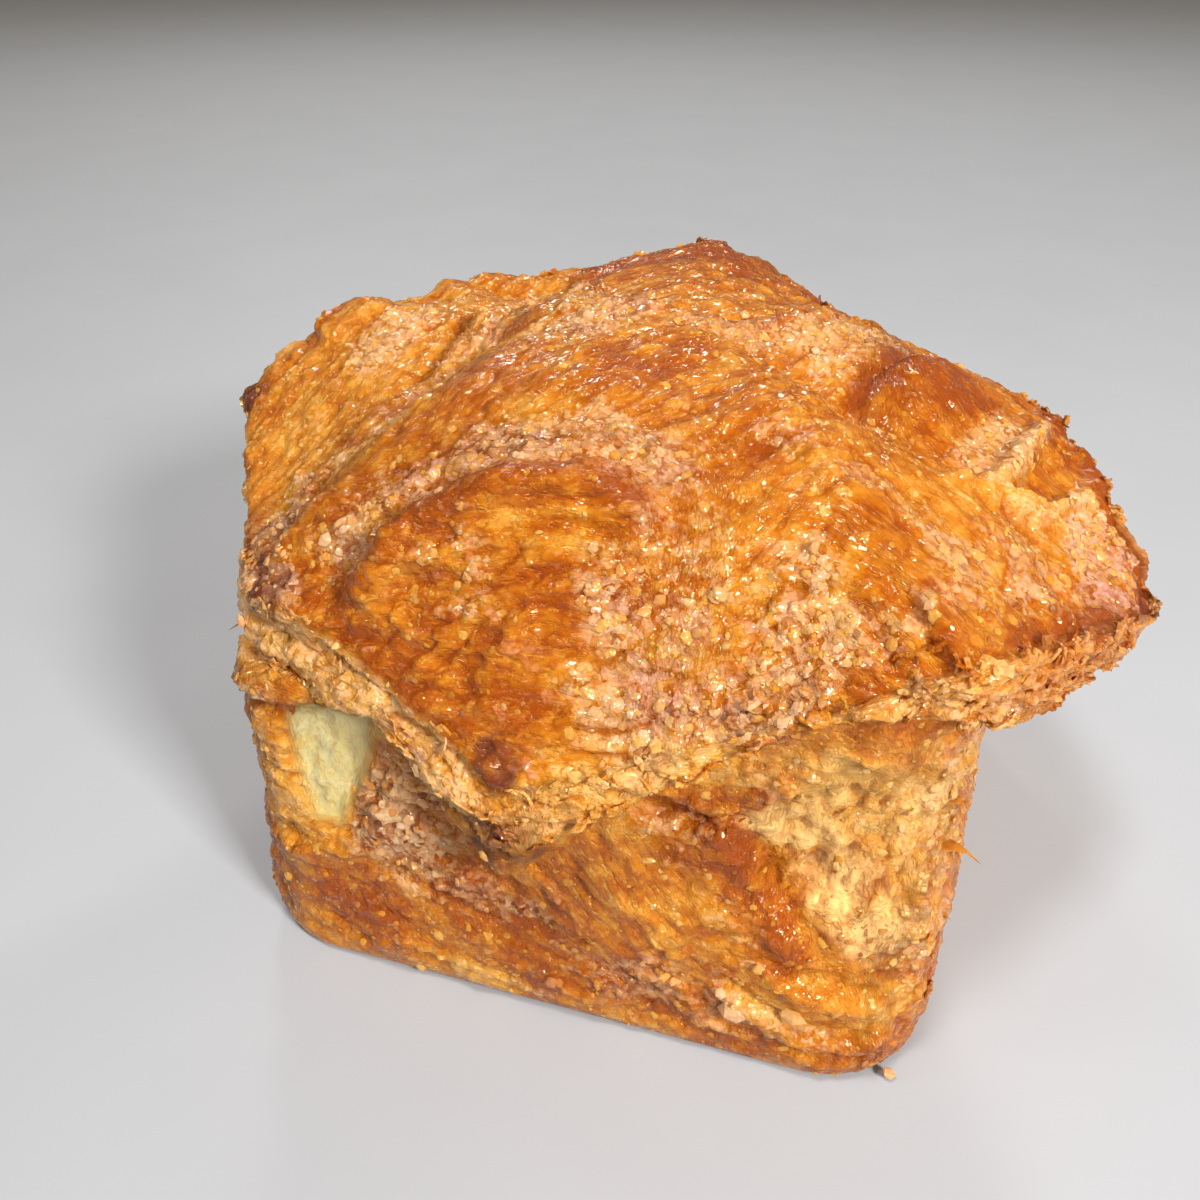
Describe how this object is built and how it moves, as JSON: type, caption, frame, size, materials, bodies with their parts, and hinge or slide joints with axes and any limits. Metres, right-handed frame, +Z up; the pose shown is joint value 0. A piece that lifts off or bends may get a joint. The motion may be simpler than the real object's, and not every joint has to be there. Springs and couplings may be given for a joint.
{
  "type": "kouign amann pastry",
  "caption": "Caramelised laminated pastry with a square tin-baked base and a puffed, sugar-crusted crown whose corners overhang the sides.",
  "frame": {"origin": "centre of the flat foot, on the surface that the pastry stands on", "axes": "+Z up, -Y to the front tip of the crown, +X to the right tip, the widest way across"},
  "size_m": [0.1039, 0.0839, 0.062],
  "materials": {
    "crust": "glossy caramelised sugar crust, amber to golden brown, uneven and grainy",
    "sugar": "half-melted sugar grains and crystals, translucent, pale amber to pinkish cream"
  },
  "bodies": {
    "root": {"pastry": "crust"}
  },
  "joints": []
}
